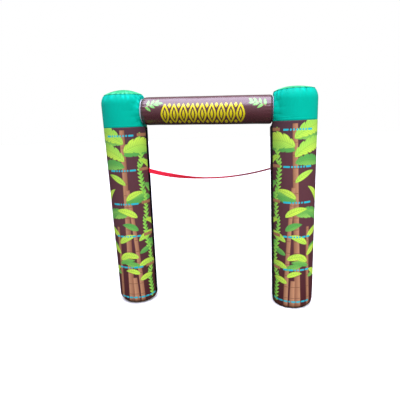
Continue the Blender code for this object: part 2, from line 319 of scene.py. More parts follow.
postPrint = {
    "repeat": post["printRadius"] * math.pi,  # the print comes twice round the post
    "levels": [0.07 + 0.30 * k for k in range(6)],
    "markHeight": 0.016,
    "markSpan": (-0.12, 0.12),
    "lowestSpan": (-0.13, 0.255),
    "dashPiece": 0.05,   # long dashes are cut into pieces of about this length
    "dashGap": 0.008,
    "tick": 0.014,
    "tickSpace": 0.010,
    "rungSpan": (0.15, 0.262),
    "rungHeight": 0.028,
    "rungLift": 0.004,   # how far each rung stands over its level
    "canes": [dict(zip(("root", "heading", "length", "width", "turning", "tint"), cane)) for cane in (
        ((-0.015, 0.0), 1.535, 1.62, 0.056, 0.02, 0.5),
        ((-0.240, 0.0), 1.60, 1.40, 0.038, -0.05, 0.4),
        ((0.100, 0.0), 1.60, 1.10, 0.044, 0.06, 0.6),
        ((-0.125, 0.0), 1.50, 0.76, 0.040, 0.06, 0.4),
        ((0.040, 0.0), 1.58, 0.27, 0.052, 0.03, 0.7),
    )],
    "deepLeaves": (
        climber(-0.015, 0.03, (1.50, 1.40, 1.30, 0.98, 0.86), 0.30, 0.10, 62, 0.9, 0.3, 1, split=0.3)
        + climber(-0.240, 0.0, (1.02, 0.80, 0.52), 0.22, 0.07, 40, 0.7, 0.3, 2)
        + climber(0.100, 0.0, (0.72, 0.50, 0.36), 0.17, 0.055, 55, 0.7, 0.3, 3)
        + climber(-0.110, 0.0, (0.56, 0.40, 0.30), 0.16, 0.050, 60, 0.6, 0.3, 4)
    ),
    "limeLeaves": (
        climber(-0.240, 0.0, (1.22, 0.94, 0.70), 0.24, 0.058, 24, 0.9, 0.85, 5)
        + climber(0.100, 0.0, (0.84, 0.62), 0.22, 0.062, 42, 1.0, 0.7, 6)
        + climber(-0.015, 0.03, (1.50, 1.43, 1.35), 0.36, 0.130, 42, 1.2, 0.42, 7, split=0.4, point=0.6)
        + climber(-0.015, 0.03, (1.14, 1.00), 0.18, 0.056, 46, 0.8, 0.6, 12)
        + climber(-0.118, 0.05, (0.66, 0.60, 0.50, 0.44), 0.19, 0.060, 46, 0.9, 0.75, 8)
        + climber(0.085, 0.0, (0.46, 0.38, 0.30, 0.24), 0.16, 0.052, 50, 0.8, 0.7, 9)
        + climber(-0.235, 0.0, (0.36, 0.28), 0.15, 0.050, 42, 0.7, 0.8, 10)
    ),
    "fronds": [
        {"root": (0.208 - 0.008 * k + 0.008 * (k % 2), 0.045 + 0.25 * k), "heading": 1.63 - 0.12 * (k % 2),
         "length": 0.30, "width": 0.092, "tint": 0.4 + 0.25 * (k % 2)} for k in range(6)
    ],
}


def levelMarks(level):
    # a dash each side and as many short ticks between them as the level's number, counted from the ground
    first, last = postPrint["markSpan"] if level else postPrint["lowestSpan"]
    tick, space, gap = postPrint["tick"], postPrint["tickSpace"], postPrint["dashGap"]
    ticks = level + 1
    middle = ticks * tick + (ticks + 1) * space
    dash = (last - first - middle) / 2
    cuts = max(1, round(dash / postPrint["dashPiece"]))
    piece = (dash + gap) / cuts
    begins = [begin + k * piece for begin in (first, last - dash) for k in range(cuts)]
    marks = [(begin + (piece - gap) / 2, piece - gap) for begin in begins]
    marks += [(first + dash + space + k * (tick + space) + tick / 2, tick) for k in range(ticks)]
    at, height = postPrint["levels"][level], postPrint["markHeight"]
    return [{"middle": (place, at), "width": width, "height": height} for place, width in marks]


def repeated(motif, s, v, settings):
    # the motif and its neighbours one repeat to each side, whichever is nearest
    found = [motif(s + shift * postPrint["repeat"], v, **settings) for shift in (-1, 0, 1)]
    nearest = found[0]
    for other in found[1:]:
        nearest = np.where(other[0] > nearest[0], other, nearest)
    return nearest


def postFields(side, turn, height):
    # the flat cloth's place: metres round towards the inner side, within one repeat, and metres up
    s = -sides[side]["sign"] * turn * post["printRadius"] + sides[side]["printTurn"]
    s = (s + postPrint["repeat"] / 2) % postPrint["repeat"] - postPrint["repeat"] / 2
    motifs = {"canes": caneMotif, "deepLeaves": bladeMotif, "limeLeaves": bladeMotif, "fronds": frondMotif}
    layers = {}
    for name, motif in motifs.items():
        layers[name] = [repeated(motif, s, height, each) for each in postPrint[name]]
    first, last = postPrint["rungSpan"]
    rung = {"width": last - first, "height": postPrint["rungHeight"]}
    middles = [((first + last) / 2, at + postPrint["rungLift"]) for at in postPrint["levels"][1:]]
    layers["rungs"] = [repeated(boxMotif, s, height, {"middle": middle, **rung}) for middle in middles]
    layers["marks"] = [boxMotif(s, height, **mark) for level in range(6) for mark in levelMarks(level)]
    fields = {name: stack(found) for name, found in layers.items()}
    # the black edging under the loop strip: distance inside its nearer edge
    away = np.abs(turn + sides[side]["sign"] * np.pi / 2) * post["printRadius"]
    fields["edging"] = np.stack([sides[side]["edging"] - away, height, away, 0.5 + 0 * away], -1)
    return fields


def linear(code, alpha=1.0):
    # an sRGB hex value as the linear colour that a socket takes
    parts = [int(code[i:i + 2], 16) / 255 for i in (0, 2, 4)]
    return [p / 12.92 if p <= 0.04045 else ((p + 0.055) / 1.055) ** 2.4 for p in parts] + [alpha]


def addNode(tree, kind, inputs=None, **settings):
    # one shader node with its settings; an input is a value or the socket that it is linked from
    node = tree.nodes.new("ShaderNode" + kind)
    for name, value in settings.items():
        setattr(node, name, value)
    for key, value in (inputs or {}).items():
        if isinstance(value, bpy.types.NodeSocket):
            tree.links.new(value, node.inputs[key])
        else:
            node.inputs[key].default_value = value
    return node.outputs


def newMaterial(name, **sockets):
    material = bpy.data.materials.new(name)
    material.use_nodes = True
    shader = material.node_tree.nodes["Principled BSDF"]
    for key, value in sockets.items():
        shader.inputs[key.replace("_", " ")].default_value = value
    return material, material.node_tree, shader


# an ink's settings, and what they are where it says nothing, in metres
plainInk = {
    "pitch": 1.0, "line": 0.0001,  # of its side veins: how far apart, and half their width
    "slant": 0.0,                  # how far the veins lean along the spine for each metre off it
    "rib": 0.0, "edge": 0.0011,    # half the rib's width, and how far in the dark outline reaches
    "halves": 0.0,                 # how much lighter the cloth gets for each metre across the spine
    "dark": 0.0,                   # how strong these lines are
}


def printLayer(tree, under, name, ink):
    # one ink over what is under it: crisp where inside passes 0, two tones across the motif,
    # with darker side veins, rib and outline
    ink = {**plainInk, **ink}
    found = addNode(tree, "Attribute", attribute_name=name)
    inside, along, across = addNode(tree, "SeparateColor", {0: found["Color"]})[:3]
    cover = addNode(tree, "MapRange", {0: inside, 1: -0.0005, 2: 0.0005})[0]
    off = addNode(tree, "Math", {0: across}, operation="ABSOLUTE")[0]
    slant = addNode(tree, "Math", {0: off, 1: -ink["slant"], 2: along}, operation="MULTIPLY_ADD")[0]
    wave = addNode(tree, "Math", {0: slant, 1: ink["pitch"] / 2}, operation="PINGPONG")[0]
    dark = 0.0
    for far, first, last in (
        (wave, ink["line"] * 0.6, ink["line"] * 1.4),
        (off, ink["rib"] * 0.5, ink["rib"] * 1.2 + 1e-5),
        (inside, 0.001, ink["edge"]),
    ):
        near = addNode(tree, "MapRange", {0: far, 1: first, 2: last, 3: 1.0, 4: 0.0})[0]
        dark = addNode(tree, "Math", {0: dark, 1: near}, operation="MAXIMUM")[0]
    dark = addNode(tree, "Math", {0: dark, 1: ink["dark"]}, operation="MULTIPLY")[0]
    halves = {0: across, 1: ink["halves"], 2: found["Alpha"]}
    tone = addNode(tree, "Math", halves, operation="MULTIPLY_ADD")[0]
    low, high, line = linear(ink["low"]), linear(ink["high"]), linear(ink["ink"])
    colour = addNode(tree, "Mix", {0: tone, 6: low, 7: high}, data_type="RGBA")[2]
    colour = addNode(tree, "Mix", {0: dark, 6: colour, 7: line}, data_type="RGBA")[2]
    return addNode(tree, "Mix", {0: cover, 6: under, 7: colour}, data_type="RGBA")[2]


def layered(tree, colour, layers):
    # each hex colour in turn over the one before, by its share
    for share, code in layers:
        colour = addNode(tree, "Mix", {0: share, 6: colour, 7: linear(code)}, data_type="RGBA")[2]
    return colour


cloth = {
    "thread": 0.0016,     # real threads are 0.2 mm apart; drawn eight times coarser so that they show
    "weaveLift": 0.00006,
    "creaseSize": 0.085,  # soft creases of blown-up cloth
    "creaseLift": 0.0022,
}


def mapParts(tree):
    # the cloth's own map: metres across and metres along or up
    uv = addNode(tree, "UVMap", uv_map="clothMap")[0]
    return addNode(tree, "SeparateXYZ", {0: uv})


def clothBump(tree, shader):
    # the weave: threads over and under on the cloth's own map, then soft creases on Object coordinates
    parts = mapParts(tree)
    waves = []
    for part in parts[:2]:
        scaled = addNode(tree, "Math", {0: part, 1: math.pi / cloth["thread"]}, operation="MULTIPLY")[0]
        waves.append(addNode(tree, "Math", {0: scaled}, operation="SINE")[0])
    weave = addNode(tree, "Math", {0: waves[0], 1: waves[1]}, operation="MULTIPLY")[0]
    place = addNode(tree, "TexCoord")["Object"]
    stretched = addNode(tree, "Mapping", {0: place, 3: (1.0, 1.0, 0.45)})[0]
    creases = {"Vector": stretched, "Scale": 1 / cloth["creaseSize"], "Detail": 3.0, "Distortion": 0.6}
    crease = addNode(tree, "TexNoise", {**creases, "Roughness": 0.5})[0]
    bump = addNode(tree, "Bump", {"Strength": 1.0, "Distance": cloth["creaseLift"], "Height": crease})[0]
    weaveBump = {"Strength": 1.0, "Distance": cloth["weaveLift"], "Height": weave, "Normal": bump}
    tree.links.new(addNode(tree, "Bump", weaveBump)[0], shader.inputs["Normal"])
    return crease, place


def clothFinish(tree, shader, colour, crease, place, roughness, wear):
    # cloth is never one even colour: dye varies softly, and the coating is duller where it was folded
    mottle = addNode(tree, "TexNoise", {"Vector": place, "Scale": 9.0, "Detail": 4.0, "Roughness": 0.6})[0]
    shade = addNode(tree, "MapRange", {0: mottle, 1: 0.3, 2: 0.7, 3: 1 - wear, 4: 1 + wear})[0]
    varied = addNode(tree, "HueSaturation", {"Value": shade, "Color": colour})[0]
    duller = {0: crease, 1: 0.3, 2: 0.7, 3: roughness - 0.05, 4: roughness + 0.08}
    dull = addNode(tree, "MapRange", duller)[0]
    tree.links.new(varied, shader.inputs["Base Color"])
    tree.links.new(dull, shader.inputs["Roughness"])


postInks = {
    "canes": {"pitch": 0.105, "line": 0.0028, "edge": 0.005, "halves": 22.0, "dark": 0.7,
              "low": "98664c", "high": "c6906c", "ink": "714736"},
    "deepLeaves": {"slant": 0.8, "pitch": 0.016, "line": 0.0018, "rib": 0.002, "edge": 0.004, "halves": 14.0,
                   "dark": 0.55, "low": "60b252", "high": "98d65e", "ink": "4a9046"},
    "fronds": {"slant": 0.75, "pitch": 0.036, "line": 0.0010, "rib": 0.0025, "edge": 0.002, "halves": 16.0,
               "dark": 0.35, "low": "7cd252", "high": "b0ee60", "ink": "4aa044"},
    "limeLeaves": {"slant": 0.8, "pitch": 0.021, "line": 0.0020, "rib": 0.0025, "edge": 0.004, "halves": 10.0,
                   "dark": 0.58, "low": "a6e257", "high": "d2f453", "ink": "74b843"},
    "rungs": {"pitch": 0.037, "line": 0.0014, "edge": 0.004, "halves": 14.0, "dark": 0.6,
              "low": "9f6c4c", "high": "c08a64", "ink": "75492f"},
    "marks": {"low": "1eb4c8", "high": "2cc2d0", "ink": "1a9cb4"},
    "edging": {"low": "0a090c", "high": "110f13", "ink": "0a090c"},
}
# the post's ground by height: (colour, lowest, highest, strength at the lowest, strength at the highest).
# Under the inks the plum lightens upwards, as painted light, and darkens again towards the cap, as painted
# shade; over them the foot darkens to brown and then near black towards the ground, as painted shade
postGroundPaintedShading = (("60383f", 0.1, 0.75, 0.0, 1.0), ("533640", 1.3, 1.6, 0.0, 1.0))
postFootPaintedShade = (("5c3424", 0.03, 0.06, 0.6, 0.0), ("241a12", 0.006, 0.034, 0.85, 0.0))


def tintByHeight(tree, colour, bands):
    # each band's colour in turn over the cloth, by a share that runs between its two heights
    height, layers = mapParts(tree)[1], []
    for code, lowest, highest, first, last in bands:
        inputs = {0: height, 1: lowest, 2: highest, 3: first, 4: last}
        layers.append((addNode(tree, "MapRange", inputs)[0], code))
    return layered(tree, colour, layers)


def printedPostCloth():
    # polyester taffeta, dye printed and coated inside: flat bright inks under a soft satin shine
    material, tree, shader = newMaterial("printedPolyesterTaffeta", IOR=1.5, Specular_IOR_Level=0.35)
    crease, place = clothBump(tree, shader)
    # painted light and shade: the plum lightens upwards and darkens again towards the cap
    colour = tintByHeight(tree, linear("512528"), postGroundPaintedShading)
    for name, ink in postInks.items():
        colour = printLayer(tree, colour, name, ink)
    # painted shade: the foot darkens to brown and then near black towards the ground
    colour = tintByHeight(tree, colour, postFootPaintedShade)
    clothFinish(tree, shader, colour, crease, place, 0.42, 0.05)
    return material


def plainCloth(name, inks, shine):
    # the same taffeta dyed one colour: even and bright. Where it is gathered to a seam the ridges get a
    # painted highlight, and the creases and the seam itself a painted shade
    material, tree, shader = newMaterial(name, IOR=1.5, Specular_IOR_Level=0.05)
    crease, place = clothBump(tree, shader)
    paintedFoldShading = addNode(tree, "Attribute", attribute_name="paintedFoldShading")[0]
    paintedHighlight, paintedShade = addNode(tree, "SeparateColor", {0: paintedFoldShading})[:2]
    # the dye, with a painted highlight on the ridges and a painted shade in the creases and seams
    colour = layered(tree, linear(inks["plain"]), ((paintedHighlight, inks["paintedHighlight"]), (paintedShade, inks["crease"])))
    clothFinish(tree, shader, colour, crease, place, shine, 0.04)
    return material


view = {"place": (0.4114, -3.2636, 1.6746), "yaw": -0.1522, "pitch": 0.2121, "roll": -0.0437, "lens": 33.34}


def addCamera():
    # turned by yaw about the vertical, by pitch downwards and by roll about its own axis
    yaw, pitch, roll = view["yaw"], view["pitch"], view["roll"]
    ahead = Vector((math.sin(yaw) * math.cos(pitch), math.cos(yaw) * math.cos(pitch), -math.sin(pitch)))
    level = Vector((math.cos(yaw), -math.sin(yaw), 0.0))
    up = level.cross(ahead)
    right = math.cos(roll) * level + math.sin(roll) * up
    top = -math.sin(roll) * level + math.cos(roll) * up
    camera = bpy.data.objects.new("camera", bpy.data.cameras.new("camera"))
    camera.data.sensor_width, camera.data.lens = 36.0, view["lens"]
    turned = Matrix((right, top, -ahead)).transposed().to_4x4()
    camera.matrix_world = Matrix.Translation(view["place"]) @ turned
    bpy.context.scene.collection.objects.link(camera)
    bpy.context.scene.camera = camera


studio = {
    "brightWay": (0.0, -0.20, 0.98),  # the soft box is overhead and a little in front
    # cosines of the angle from it: the walls brighten between the first two, the ceiling up to the third
    "horizon": (-0.35, 0.15), "ceiling": 0.80,
    "below": 0.05, "level": 0.20, "above": 0.38,
    "wrap": 0.43,  # more light from the walls, which shows in no shine
    "box": 4.5, "boxEdge": (0.75, 0.85), "boxColour": (0.80, 0.78, 1.0, 1.0),
    "fill": 128.0, "fillSize": 3.0, "fillPlace": (3.0, -4.2, 3.0), "fillAim": (0.0, 0.0, 1.0),
    "floorHalf": 30.0,
}


def addStudio():
    # a soft box overhead, walls and a ceiling lit by the angle from it, and an area lamp that fills the front
    world = bpy.data.worlds.new("studio")
    world.use_nodes = True
    tree = world.node_tree
    way = addNode(tree, "TexCoord")["Generated"]
    facing = {0: way, 1: studio["brightWay"]}
    facing = addNode(tree, "VectorMath", facing, operation="DOT_PRODUCT")["Value"]
    start, end = studio["horizon"]
    lights = {}
    for name, low, high, first, last, curve in (
        ("walls", start, end, studio["below"], studio["level"], "LINEAR"),
        ("wrap", start, end, 0.0, studio["wrap"], "LINEAR"),
        ("ceiling", end, studio["ceiling"], 0.0, studio["above"] - studio["level"], "LINEAR"),
        ("box", *studio["boxEdge"], 0.0, studio["box"], "SMOOTHSTEP"),
    ):
        inputs = {0: facing, 1: low, 2: high, 3: first, 4: last}
        lights[name] = addNode(tree, "MapRange", inputs, interpolation_type=curve)[0]
    total = addNode(tree, "Math", {0: lights["walls"], 1: lights["ceiling"]}, operation="ADD")[0]
    paths = addNode(tree, "LightPath")
    wrapped = {0: paths["Is Diffuse Ray"], 1: lights["wrap"], 2: total}
    total = addNode(tree, "Math", wrapped, operation="MULTIPLY_ADD")[0]
    inputs = {0: 1.0, 6: lights["box"], 7: studio["boxColour"]}
    tinted = addNode(tree, "Mix", inputs, data_type="RGBA", blend_type="MULTIPLY")[2]
    light = addNode(tree, "Mix", {0: 1.0, 6: total, 7: tinted}, data_type="RGBA", blend_type="ADD")[2]
    # the camera sees plain white
    seen = {0: paths["Is Camera Ray"], 6: light, 7: (1, 1, 1, 1)}
    colour = addNode(tree, "Mix", seen, data_type="RGBA")[2]
    tree.links.new(colour, tree.nodes["Background"].inputs["Color"])
    bpy.context.scene.world = world
    fill = bpy.data.objects.new("fill", bpy.data.lights.new("fill", "AREA"))
    fill.data.energy, fill.data.size = studio["fill"], studio["fillSize"]
    fill.location = studio["fillPlace"]
    fill.rotation_euler = (Vector(studio["fillAim"]) - fill.location).to_track_quat("-Z", "Y").to_euler()
    fill.visible_glossy = False
    bpy.context.scene.collection.objects.link(fill)
    floor = bpy.data.objects.new("floor", bpy.data.meshes.new("floor"))
    half = studio["floorHalf"]
    corners = [(-half, -half, 0), (half, -half, 0), (half, half, 0), (-half, half, 0)]
    floor.data.from_pydata(corners, [], [(0, 1, 2, 3)])
    # matt paper: white, with next to no shine
    paper = newMaterial("mattWhitePaper", Base_Color=linear("f2f2f2"), Roughness=0.9, Specular_IOR_Level=0.1)
    floor.data.materials.append(paper[0])
    floor.visible_diffuse = floor.visible_glossy = False  # the floor doesn't light the cloth from below
    bpy.context.scene.collection.objects.link(floor)
    bpy.context.scene.view_settings.view_transform = "Standard"


print("camera and studio")
addCamera()
addStudio()


def finishPiece(piece, node, material):
    # every piece rides on the one body and stands in for its CAD node
    piece.data.materials.append(material)
    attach(piece, "root")
    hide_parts(node)


tube = {
    "columns": 256, "rows": 330,
    "seamRows": 12, "seamStretch": 0.036,  # closer rows over this much under the cap's seam
    "outerCorner": 0.026,                  # the foot's round is larger by this on the outer side
    "footGather": 0.0085, "footPuckers": 15, "footBand": (0.0, 0.02, 0.025, 0.10),
    "seamGather": 0.0012, "seamPuckers": 44, "seamBand": (0.008, 0.06), "slack": 0.0011,
}


def tubeWall(side, rho, turn, height):
    # the lathe radius plus slack, gathers at the foot's round and at the cap's seam, and the seam's crease
    seed, below = sides[side]["seed"], post["capSeam"] - height
    slack = tube["slack"] * billow(turn, height, seed) * smoothStep(0.05, 0.2, height)
    foot = (bulges(turn, tube["footPuckers"], seed + 1) - 0.7) * between(height, *tube["footBand"])
    seam = (bulges(turn, tube["seamPuckers"], seed + 2) - 0.6) * (1 - smoothStep(*tube["seamBand"], below))
    gathers = tube["footGather"] * foot + tube["seamGather"] * seam
    crease = post["creaseDepth"] * bell(below, post["creaseWidth"])
    return rho + (slack + gathers) * awayFromStrip(side, turn) - crease


def makeTube(side, material):
    # a flat base, a rounded foot that is fuller on the outer side, the tapered wall, and a flat top
    turn = np.linspace(-np.pi, np.pi, tube["columns"] + 1)[None, :]
    corner = sides[side]["corner"] + tube["outerCorner"] * sideBell(side, turn, 1.1, outer=True)
    middle, seam = wallRadius(corner) - corner, post["capSeam"]
    bend = np.linspace(0, np.pi / 2, 12)[:, None]
    base = np.linspace(0.06, 0.97, 8)[:, None] * middle
    stretched = seam - tube["seamStretch"]
    wall = np.concatenate([
        corner + (stretched - corner) * np.linspace(0, 1, tube["rows"])[1:, None],
        np.linspace(stretched, seam, tube["seamRows"])[1:, None] + 0 * turn,
    ])
    top = np.linspace(0.985, 0.05, 6)
    level = seam + 0 * top[:, None] + 0 * turn
    rho = np.concatenate([base, middle + corner * np.sin(bend), wallRadius(wall), wallRadius(level)])
    height = np.concatenate([0 * base, corner * (1 - np.cos(bend)), wall, level])
    turn = turn + 0 * rho
    shaped = tubeWall(side, rho, turn, height)
    shaped[:len(base)] = base
    points = pressIn(postLattice(side, shaped, turn, height), side, 0.0)
    poles = (axisX(side), 0, 0), (axisX(side), 0, seam)
    flatEnd(points, -len(top) - 1, slice(-len(top), None), top, poles[1])
    flat = np.stack([turn * post["printRadius"], height], -1)
    piece = skin(f"{side}PostTube", points, poles=poles, uv=flat, fields=postFields(side, turn, height))
    finishPiece(piece, f"{side}_tube", material)


print("posts")
postCloth = printedPostCloth()
for side in sides:
    makeTube(side, postCloth)

cap = {
    "columns": 300, "rows": 74, "puckers": 22,
    "drift": 1.0,    # how unevenly the gathers are spaced
    "gather": 0.0085, "gatherStart": 0.007,
    "reach": 0.05,   # they fade to about a third over this much
    "ridgeStart": (0.006, 0.020), "ridgeLength": 0.048, "valleyEnd": (0.01, 0.05),  # where their painted highlight and painted shade lie
    "pull": 0.0045, "foldBand": (0.104, 0.12, 0.13, 0.17),
    "ripple": 0.0005, "ripplePitch": 0.017, "rippleBand": (0.004, 0.015, 0.03, 0.075),
    "creaseDepth": 0.002, "creaseWidth": 0.004,  # of the crown's seam
    "crownLine": 0.0045, "lowerLine": 0.004,     # width of the painted shade along each seam
}
# the dye, then a painted highlight for the gathers' ridges and a painted shade for their creases
capInks = {"plain": "00b59c", "paintedHighlight": "08ddcb", "crease": "037f78"}
crownInks = {"plain": "3ab277", "paintedHighlight": "7ae8c0", "crease": "148c62"}


def capRadius(height, crownSeam):
    # the wall's taper, drawn in over the shoulder by a power of the share climbed
    share = np.clip((height - (crownSeam - post["shoulder"])) / post["shoulder"], 0, None)
    return wallRadius(height) - (wallRadius(crownSeam) - post["crownRadius"]) * share ** post["shoulderPower"]


def crownGathers(side, turn):
    # the gathers at the crown's seam: how far each place swells, how hard the cloth is drawn in there,
    # how much painted shade falls between them, and how much falls in the seam's crease, which is shallow
    # over each
    swell = bulges(turn, cap["puckers"], sides[side]["seed"] + 3, cap["drift"])
    strong = gatherStrength(side, turn)
    shaded = 0.6 * strong * (1 - smoothStep(0.0, 0.4, swell))
    return swell, strong, shaded, np.clip(1.1 * strong, 0, 1) * (1 - 0.75 * smoothStep(0.3, 0.8, swell))


def makeCap(side, material):
    # the wall drawn in to the crown's seam, closed by a flat disc at each end. Gathers hang from that seam
    # and fade down the cap, faint level ripples lie over the lower seam, and each seam has its own crease
    seed, crownSeam = sides[side]["seed"], sides[side]["crownSeam"]
    bottom = post["capSeam"] + post["gap"]
    wall = np.linspace(bottom, crownSeam, cap["rows"])
    shares = np.linspace(0.05, 0.985, 6)
    wall = np.concatenate([0 * shares + bottom, wall, 0 * shares + crownSeam])[:, None]
    turn = np.linspace(-np.pi, np.pi, cap["columns"] + 1)[None, :]
    height, turn = wall + 0 * turn, turn + 0 * wall
    below, above = crownSeam - height, height - bottom
    swell, strong, shaded, seamPaintedShade = crownGathers(side, turn)
    gathers = cap["gather"] * sides[side]["gather"] * strong * (swell - 0.6)
    gathers = gathers * np.exp(-below / cap["reach"]) * smoothStep(0.0, cap["gatherStart"], below)
    ripples = cap["ripple"] * np.sin(2 * np.pi * height / cap["ripplePitch"] + 1.5 * np.sin(2 * turn + seed))
    ripples = ripples * between(above, *cap["rippleBand"])
    creases = post["creaseDepth"] * bell(above, post["creaseWidth"])
    creases = creases + cap["creaseDepth"] * bell(below, cap["creaseWidth"])
    rho = capRadius(height, crownSeam) + gathers + ripples - creases
    points = postLattice(side, rho, turn, height)
    points[..., 2] -= seamDip(side, turn) * smoothStep(crownSeam - 0.12, crownSeam, height)
    points = pressIn(points, side, cap["pull"])
    poles, ends = ((axisX(side), 0, bottom), (axisX(side), 0, crownSeam)), len(shares)
    flatEnd(points, ends, slice(0, ends), shares, poles[0])
    flatEnd(points, -ends - 1, slice(-ends, None), shares[::-1], poles[1])
    flat = np.stack([turn * post["printRadius"], height], -1)
    # a painted highlight on the ridges, each of its own length, and on the folds that the bar pulls above it
    length = cap["ridgeLength"] + 0.016 * np.sin(5 * turn + seed) + 0.012 * np.sin(11 * turn + 2 * seed)
    paintedHighlight = strong * smoothStep(0.5, 0.95, swell) * smoothStep(*cap["ridgeStart"], below)
    paintedHighlight = paintedHighlight * (1 - smoothStep(0.4, 1.0, below / length))
    fromAxis, barTurn, inner = nearBar(points, side)
    pulled = bulges(barTurn, bar["pulls"], seed + 5) * inner * between(fromAxis, *cap["foldBand"])
    paintedHighlight = np.maximum(paintedHighlight, 0.8 * smoothStep(0.55, 0.95, pulled) * (points[..., 2] > bar["height"]))
    # and a painted shade between them and along both seams
    paintedShade = shaded * (1 - smoothStep(*cap["valleyEnd"], below))
    paintedShade = np.maximum(paintedShade, seamPaintedShade * bell(below, cap["crownLine"]))
    paintedShade = np.maximum(paintedShade, 0.6 * bell(above, cap["lowerLine"]))
    paintedFoldShading = np.stack([paintedHighlight, paintedShade, 0 * paintedHighlight, 0 * paintedHighlight], -1)
    piece = skin(f"{side}Cap", points, poles=poles, uv=flat, fields={"paintedFoldShading": paintedFoldShading})
    finishPiece(piece, f"{side}_cap", material)


crown = {
    "columns": 240, "rows": 44, "rim": 0.002, "lift": 0.0060, "liftStart": 0.012, "reach": 0.035,
    # width of the painted shade along the seam
    "seamLine": 0.004,
}


def makeCrown(side, material):
    # a flat base, a short upright rim and a dome that falls by the square of the share of its radius. The
    # cap's own gathers run over the seam and die away towards the middle, some further than others
    seed, bottom = sides[side]["seed"], sides[side]["crownSeam"] + post["gap"]
    rim, dome = bottom + crown["rim"], sides[side]["dome"] - crown["rim"] - post["gap"]
    base = np.append(np.linspace(0.05, 0.97, 5), 0.996)
    share = np.linspace(1, 0.02, crown["rows"])[1:] ** 0.9
    rho = post["crownRadius"] * np.concatenate([base, [1.0], share])[:, None]
    height = np.concatenate([0 * base + bottom, [rim], rim + dome * (1 - share**2)])[:, None]
    turn = np.linspace(-np.pi, np.pi, crown["columns"] + 1)[None, :]
    turn, height = turn + 0 * rho, height + 0 * turn
    inward = post["crownRadius"] - rho
    upper = (np.arange(len(rho)) > len(base))[:, None]
    swell, strong, shaded, seamPaintedShade = crownGathers(side, turn)
    reach = crown["reach"] * (1 + 0.4 * np.sin(3 * turn + seed) + 0.3 * np.sin(7 * turn + 2 * seed))
    gathers = crown["lift"] * sides[side]["gather"] * strong * (swell - 0.45)
    gathers = gathers * np.exp(-inward / reach) * smoothStep(0.0, crown["liftStart"], inward) * upper
    dip = seamDip(side, turn) * (rho / post["crownRadius"]) ** 2
    points = postLattice(side, rho, turn, np.maximum(height + gathers, bottom) - dip)
    # a painted highlight on the ridges, fading inwards, and a painted shade between them and along the seam
    paintedHighlight = 0.8 * strong * smoothStep(0.4, 1.0, swell) * (1 - smoothStep(0.1, 1.7, inward / reach)) * upper
    paintedShade = shaded * (1 - smoothStep(0.2, 1.2, inward / reach))
    paintedShade = np.maximum(paintedShade, seamPaintedShade * bell(inward, crown["seamLine"]))
    paintedFoldShading = np.stack([paintedHighlight, paintedShade, 0 * paintedHighlight, 0 * paintedHighlight], -1)
    poles = (axisX(side), 0, bottom), (axisX(side), 0, rim + dome)
    piece = skin(f"{side}Crown", points, poles=poles, uv=points[..., :2], fields={"paintedFoldShading": paintedFoldShading})
    finishPiece(piece, f"{side}_crown", material)


print("caps and crowns")
tealCloth = plainCloth("tealPolyesterTaffeta", capInks, 0.36)
greenCloth = plainCloth("greenPolyesterTaffeta", crownInks, 0.46)
for side in sides:
    makeCap(side, tealCloth)
    makeCrown(side, greenCloth)

crossbar = {
    "rows": 350, "columns": 264, "endRows": 34, "ends": 0.075,  # closer rows over this much at each end
    "puckers": 22, "gather": 0.0045, "slack": 0.0012,
    "endPull": {"left": 0.75, "right": 0.4}, "seeds": {"left": 42, "right": 41},
    "puckerPeak": 0.020,  # past the welt's land
    "friezeEnds": (-0.339, 0.299), "lozenges": 9, "middle": -0.033, "smallOff": 0.075,
    "lozenge": {"width": 0.076, "height": 0.196, "stroke": 0.017, "space": 0.009},
    "smallLozenge": {"width": 0.030, "height": 0.050, "stroke": 0.05, "space": 0.0},
    "branches": ((-0.46, 1), (0.45, -1)),  # middle of each, and which way it points
    "leaves": 7, "leafLength": 0.062, "leafWidth": 0.024,
    "stalkLength": 0.13, "stalkWidth": 0.009, "curl": 0.3,
}
barInks = {
    "stalks": {"pitch": 0.03, "line": 0.0012, "edge": 0.003, "halves": 18.0, "dark": 0.6,
               "low": "9a6a50", "high": "b88465", "ink": "74483a"},
    "sprigs": {"rib": 0.0016, "edge": 0.003, "halves": 12.0, "dark": 0.5,
               "low": "78c860", "high": "98da76", "ink": "5fa850"},
    # the frieze runs from its low ink at the lozenges' bottoms to its high ink at their tops, as painted
    # shade
    "frieze": {"edge": 0.003, "dark": 0.55, "low": "d9c812", "high": "f4e60a", "ink": "8a7a10"},
}


def lozengeMotif(s, v, middle, width, height, stroke, space):
    # a tall lozenge whose half width is 1 less the share of its height to the power 1.5, drawn as a stroke
    # with a small solid one inside it
    ds, dv = s - middle[0], v - middle[1]
    t = np.clip(np.abs(dv) / (height / 2), 0, 1)
    depth = width / 2 * (1 - t**1.5) - np.abs(ds)
    inside = np.maximum(np.minimum(depth, stroke - depth), depth - stroke - space)
    # the tint is painted shade: lighter towards the lozenge's top and darker towards its bottom
    return inside, dv, ds, np.clip(0.55 + dv * 6, 0, 1)


